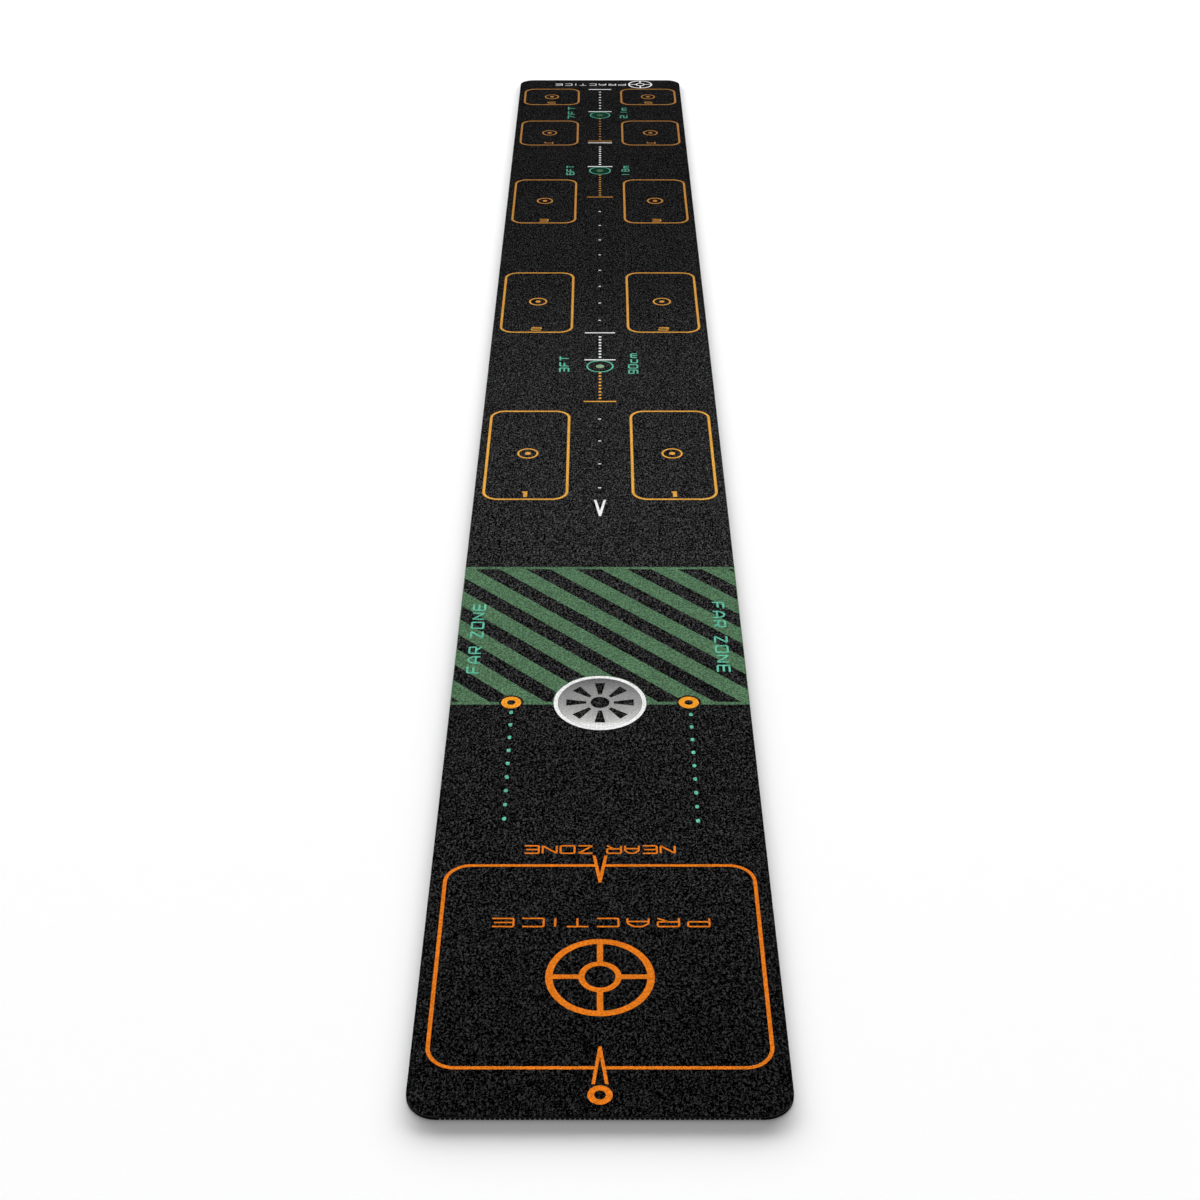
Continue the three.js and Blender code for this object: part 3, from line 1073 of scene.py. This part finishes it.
class PUTTINGMAT_OT_stations(MatOperator, bpy.types.Operator):
    """Five pairs of amber station boxes with their rings, dots and numbers"""

    bl_idname = "putting_mat.stations"
    bl_label = "Stations"

    # The number 1: a thick bar with a short flag at its top left, in millimetres from the middle of its foot.
    numeral_one = ((-2.7, 0), (2.9, 0), (2.9, 15.5), (-4.4, 15.5), (-4.4, 12), (-2.7, 12))

    def execute(self, context):
        stations = [(i, f"station_{i}_{side}") for i in range(1, 6) for side in ("left", "right")]
        nodes = [f"{station}_{part}" for _, station in stations for part in ("frame", "ring")]

        def draw(bm, low, high):
            for i, station in stations:
                middle = circle_of(f"{station}_ring")[0]
                disc(bm, middle, STATION_DOT, low, high)
                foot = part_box(f"{station}_frame")[0].y + STATION_FOOT
                if i == 1:
                    plate(bm, [(middle.x + x * MM, foot + y * MM) for x, y in self.numeral_one], low, high)
                else:
                    left = middle.x - NUMERAL_WIDTH / 2
                    word(bm, str(i), (left, foot), (left + NUMERAL_WIDTH, foot), NUMERAL, low, high)

        print_piece("station_print", nodes, self.dye("amber"), self.sizes, draw)
        return {"FINISHED"}


class PUTTINGMAT_OT_ladders(MatOperator, bpy.types.Operator):
    """Three distance ladders: lines, dots, rings and labels"""

    bl_idname = "putting_mat.ladders"
    bl_label = "Distance ladders"

    # Each ladder's name, its dots on the near side and on the far side as first, last and count, and its two
    # labels, each as a text, its X and the places where it starts and ends.
    ladders = (
        ("first", (1424, 1512, 9), (1569.5, 1645.7, 8), ("3FT", -48, 1515, 1573), ("90cm", 60, 1509, 1583)),
        ("second", (2287, 2395, 10), (2456.5, 2559, 9), ("6FT", -50, 2397, 2450), ("1.8m", 58, 2396, 2448)),
        ("third", (2606, 2735, 9), (2804, 2914.9, 7), ("7FT", -52, 2735, 2815), ("2.1m", 58, 2740, 2808)),
    )

    def execute(self, context):
        def dots(bm, run, low, high):
            for distance in spread(*run):
                plate(bm, oval(*spot(0, distance), *LADDER_DOT), low, high)

        def short_run(bm, low, high):
            for ladder in self.ladders:
                dots(bm, ladder[1], low, high)

        def long_run(bm, low, high):
            for ladder in self.ladders:
                dots(bm, ladder[2], low, high)

        def labels(bm, low, high):
            line = self.sizes.distance_ring
            for ring in rings:
                middle, outer = circle_of(ring)
                hoop(bm, middle, outer - line / 2, line, low, high)
            for ladder in self.ladders:
                for text, x, near, far in ladder[3:]:
                    word(bm, text, spot(x, near), spot(x, far), DISTANCE_LABEL, low, high)

        def ground(bm, low, high):
            for ring in rings[1:]:
                middle, outer = circle_of(ring)
                disc(bm, middle, outer - GROUND_INSET, low, high - STEP * self.sizes.dye_rise, count=36)

        def hubs(bm, low, high):
            for ring in rings:
                disc(bm, circle_of(ring)[0], HUB, low, high)

        names = [ladder[0] for ladder in self.ladders]
        short_lines = [f"{n}_short_line" for n in names]
        long_lines = [f"{n}_{part}_line" for n in names for part in ("reach", "long")]
        rings = [f"{n}_distance_ring" for n in names]
        print_piece("short_run_print", short_lines, self.dye("amber"), self.sizes, short_run)
        print_piece("long_run_print", long_lines, self.dye("white"), self.sizes, long_run)
        distances = print_piece("distance_print", [], self.dye("mint"), self.sizes, labels)
        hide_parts(*rings)
        print_piece("distance_hub_print", [], self.dye("hub"), self.sizes, hubs)
        print_piece("distance_ground_print", [], self.dye("deep"), self.sizes, ground)
        return {"FINISHED"}


class PUTTINGMAT_OT_far_end(MatOperator, bpy.types.Operator):
    """White target and word at the far end"""

    bl_idname = "putting_mat.far_end"
    bl_label = "Far end"

    def execute(self, context):
        def draw(bm, low, high):
            word(bm, "PRACTICE", spot(57, 2975), spot(-99, 2975), END_WORD, low, high)

        print_piece("far_end_print", ["far_target"], self.dye("white"), self.sizes, draw)
        return {"FINISHED"}


class PUTTINGMAT_OT_stage(MatOperator, bpy.types.Operator):
    """Pale floor, soft light and the camera"""

    bl_idname = "putting_mat.stage"
    bl_label = "Floor, light and camera"

    def execute(self, context):
        scene = context.scene
        scene.view_settings.view_transform = "Standard"
        scene.view_settings.look = "None"
        place_camera(scene)
        lay_floor(scene)
        light_studio(scene)
        hang_softbox(scene)
        return {"FINISHED"}


STEPS = (
    PUTTINGMAT_OT_stage,
    PUTTINGMAT_OT_rubber,
    PUTTINGMAT_OT_cloth,
    PUTTINGMAT_OT_start_zone,
    PUTTINGMAT_OT_gates,
    PUTTINGMAT_OT_striped_zone,
    PUTTINGMAT_OT_cup,
    PUTTINGMAT_OT_aim_line,
    PUTTINGMAT_OT_stations,
    PUTTINGMAT_OT_ladders,
    PUTTINGMAT_OT_far_end,
)


class PUTTINGMAT_PT_panel(bpy.types.Panel):
    """Lists the steps that build the mat"""

    bl_idname = "PUTTINGMAT_PT_panel"
    bl_label = "Putting mat"
    bl_space_type = "VIEW_3D"
    bl_region_type = "UI"
    bl_category = "Putting Mat"

    def draw(self, context):
        layout = self.layout
        for group in (context.scene.putting_mat_sizes, context.scene.putting_mat_colours):
            box = layout.box()
            for name in group.__annotations__:
                box.prop(group, name)
        for step in STEPS:
            layout.operator(step.bl_idname)


CLASSES = (MatSizes, MatColours, *STEPS, PUTTINGMAT_PT_panel)


def register():
    for cls in CLASSES:
        bpy.utils.register_class(cls)
    bpy.types.Scene.putting_mat_sizes = bpy.props.PointerProperty(type=MatSizes)
    bpy.types.Scene.putting_mat_colours = bpy.props.PointerProperty(type=MatColours)


def unregister():
    del bpy.types.Scene.putting_mat_colours
    del bpy.types.Scene.putting_mat_sizes
    for cls in reversed(CLASSES):
        bpy.utils.unregister_class(cls)


def main():
    register()
    for step in STEPS:
        area, name = step.bl_idname.split(".")
        getattr(getattr(bpy.ops, area), name)()


if __name__ == "__main__":
    main()
